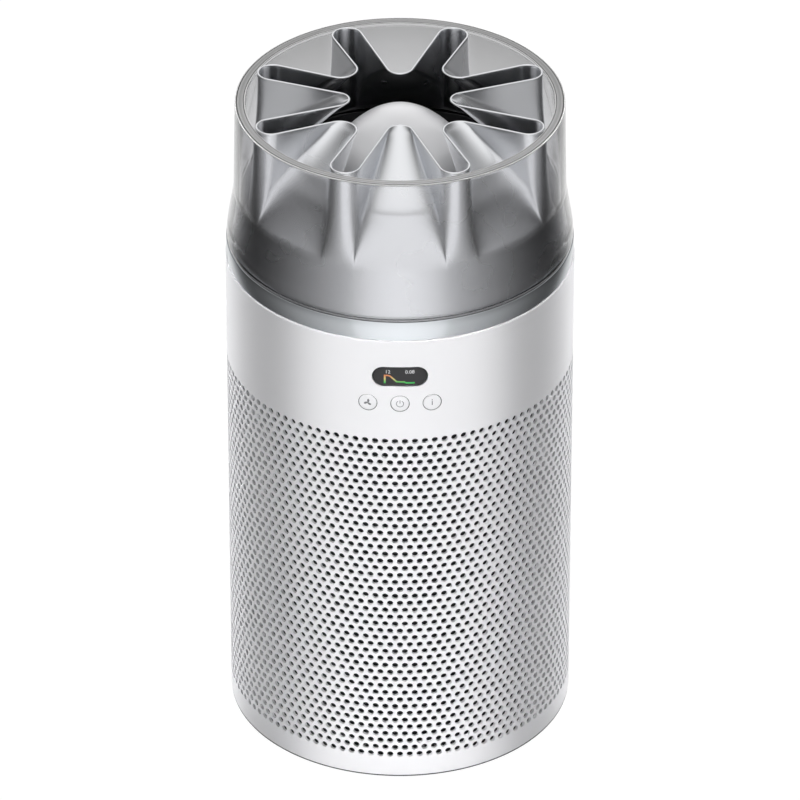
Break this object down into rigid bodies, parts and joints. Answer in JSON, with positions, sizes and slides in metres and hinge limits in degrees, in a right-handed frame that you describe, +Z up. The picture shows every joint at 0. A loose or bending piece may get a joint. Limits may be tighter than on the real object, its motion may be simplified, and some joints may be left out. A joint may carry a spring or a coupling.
{
  "type": "air purifier",
  "caption": "Cylindrical tower air purifier: perforated shroud over a pleated filter, clear cowl with a star-shaped outlet nozzle, fan inside, display and press buttons.",
  "frame": {"origin": "centre of the foot ring's underside, on the surface that the purifier stands on", "axes": "+Z up along the cylinder's axis, -Y towards the display and buttons, +X to the right seen from the front"},
  "size_m": [0.23, 0.2302, 0.4615],
  "materials": {
    "white_shell": "satin white moulded plastic",
    "clear_cowl": "clear moulded plastic with a polished surface",
    "blue_grey_trim": "glossy blue-grey",
    "silver_star": "satin silver coated plastic",
    "pearl_nose": "pearl white",
    "white_button": "satin white",
    "black_glass": "glossy black window",
    "black_plastic": "fine-grained black",
    "grey_plastic": "moulded grey",
    "black_rubber": "matt rubber",
    "seal_foam": "closed-cell foam",
    "filter_paper": "pleated fibre media",
    "carbon": "carbon-loaded fleece",
    "steel": "plain steel",
    "copper": "wound core, enamelled copper",
    "circuit_board": "green circuit board"
  },
  "bodies": {
    "base": {"base_tray": "black_plastic", "foot_ring": "black_rubber", "base_magnet_1": "steel", "base_magnet_2": "steel", "base_magnet_3": "steel", "filter_lower_cap": "grey_plastic", "filter_media": "filter_paper", "carbon_sleeve": "carbon", "filter_upper_cap": "grey_plastic", "filter_seal": "seal_foam", "filter_pull_tab": "black_rubber"},
    "housing": {"shroud": "white_shell", "cowl": "clear_cowl", "trim_ring": "blue_grey_trim", "star_nozzle_right": "silver_star", "star_nozzle_rear": "silver_star", "star_nozzle_left": "silver_star", "star_nozzle_front": "silver_star", "nose_dome": "pearl_nose", "display_window": "black_glass", "air_liner": "black_plastic", "display_module": "black_plastic", "switch_fan": "black_plastic", "switch_power": "black_plastic", "switch_info": "black_plastic", "power_inlet": "black_plastic", "air_sensor": "black_plastic", "fan_duct": "black_plastic", "vane_hub": "black_plastic", "inlet_plate": "grey_plastic", "motor_base": "grey_plastic", "control_carrier": "grey_plastic", "ribbon_cable": "grey_plastic", "motor_mount_1": "black_rubber", "motor_mount_2": "black_rubber", "motor_mount_3": "black_rubber", "housing_magnet_1": "steel", "housing_magnet_2": "steel", "housing_magnet_3": "steel", "duct_screw_1": "steel", "duct_screw_2": "steel", "duct_screw_3": "steel", "duct_screw_4": "steel", "trim_screw_1": "steel", "trim_screw_2": "steel", "trim_screw_3": "steel", "trim_screw_4": "steel", "lower_bearing": "steel", "upper_bearing": "steel", "inlet_pin_1": "steel", "inlet_pin_2": "steel", "motor_core": "copper", "control_board": "circuit_board", "main_board": "circuit_board"},
    "rotor": {"impeller": "black_plastic", "motor_shaft": "steel", "rotor_cup": "steel"},
    "button_fan_cap": {"button_fan": "white_button"},
    "button_power_cap": {"button_power": "white_button"},
    "button_info_cap": {"button_info": "white_button"}
  },
  "joints": [
    {"name": "housing_lift", "type": "slide", "parent": "base", "child": "housing", "axis": [0, 0, 1], "range_m": [0, 0.275]},
    {"name": "impeller_spin", "type": "hinge", "parent": "housing", "child": "rotor", "pos_m": [0, 0, 0.3], "axis": [0, 0, 1], "continuous": true},
    {"name": "button_fan_press", "type": "slide", "parent": "housing", "child": "button_fan_cap", "axis": [0.184, 0.9829, 0], "range_m": [0, 0.0008], "stiffness_N_per_m": 600},
    {"name": "button_power_press", "type": "slide", "parent": "housing", "child": "button_power_cap", "axis": [0, 1, 0], "range_m": [0, 0.0008], "stiffness_N_per_m": 600},
    {"name": "button_info_press", "type": "slide", "parent": "housing", "child": "button_info_cap", "axis": [-0.184, 0.9829, 0], "range_m": [0, 0.0008], "stiffness_N_per_m": 600}
  ]
}
